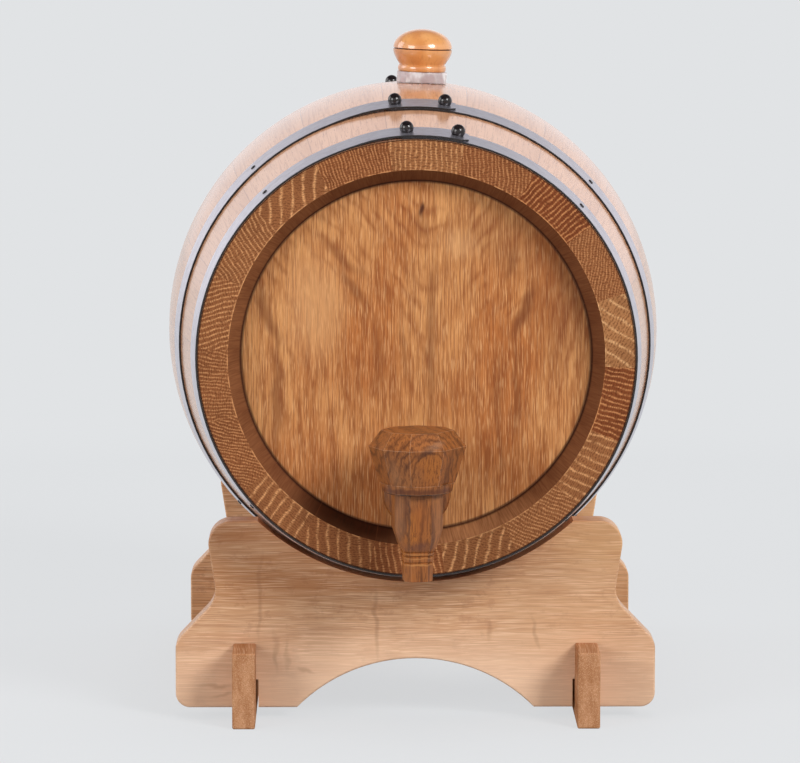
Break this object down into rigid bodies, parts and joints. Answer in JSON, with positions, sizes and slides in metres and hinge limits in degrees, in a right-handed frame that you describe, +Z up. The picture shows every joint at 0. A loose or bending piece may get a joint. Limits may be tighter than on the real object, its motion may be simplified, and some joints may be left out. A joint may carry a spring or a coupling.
{
  "type": "oak cask liquor dispenser",
  "caption": "Small oak cask lying in a two-board cradle stand, with galvanised hoops, a bung with a turned knob and a wooden plug-valve tap in its front head.",
  "frame": {"origin": "on the ground, under the middle of the whole dispenser's box", "axes": "+Z up, +Y from the tap towards the rear head along the cask, +X to the right seen from the tap"},
  "size_m": [0.211, 0.3092, 0.283],
  "materials": {
    "stave_oak": "satin",
    "head_oak": "satin",
    "stand_oak": "matte",
    "bung_wood": "satin",
    "tap_wood": "satin",
    "hoop_steel": "satin",
    "black_fasteners": "gloss",
    "silicone": "satin"
  },
  "bodies": {
    "stand": {"stand_board_front": "stand_oak", "stand_board_rear": "stand_oak", "stand_rail_left": "stand_oak", "stand_rail_right": "stand_oak"},
    "barrel": {"bung_stave": "stave_oak", "stave_02": "stave_oak", "stave_03": "stave_oak", "stave_04": "stave_oak", "stave_05": "stave_oak", "stave_06": "stave_oak", "stave_07": "stave_oak", "stave_08": "stave_oak", "stave_09": "stave_oak", "stave_10": "stave_oak", "stave_11": "stave_oak", "stave_12": "stave_oak", "stave_13": "stave_oak", "stave_14": "stave_oak", "stave_15": "stave_oak", "stave_16": "stave_oak", "stave_17": "stave_oak", "stave_18": "stave_oak", "head_front_left": "head_oak", "head_front_middle": "head_oak", "head_front_right": "head_oak", "head_rear_left": "head_oak", "head_rear_middle": "head_oak", "head_rear_right": "head_oak", "head_dowels_front": "head_oak", "head_dowels_rear": "head_oak", "hoop_head_front": "hoop_steel", "hoop_quarter_front": "hoop_steel", "hoop_quarter_rear": "hoop_steel", "hoop_head_rear": "hoop_steel", "hoop_rivets": "black_fasteners", "hoop_nails": "black_fasteners", "tap_body": "tap_wood"},
    "bung": {"bung_knob": "bung_wood", "bung_seal": "silicone"},
    "tap_key": {"tap_key": "tap_wood"}
  },
  "joints": [
    {"name": "barrel_lift", "type": "slide", "parent": "stand", "child": "barrel", "axis": [0, 0, 1], "range_m": [0, 0.1]},
    {"name": "bung_pull", "type": "slide", "parent": "barrel", "child": "bung", "axis": [0.0366, 0, 0.9993], "range_m": [0, 0.03]},
    {"name": "tap_turn", "type": "hinge", "parent": "barrel", "child": "tap_key", "pos_m": [0, -0.13512, 0.1], "axis": [0, 0, 1], "continuous": true}
  ]
}
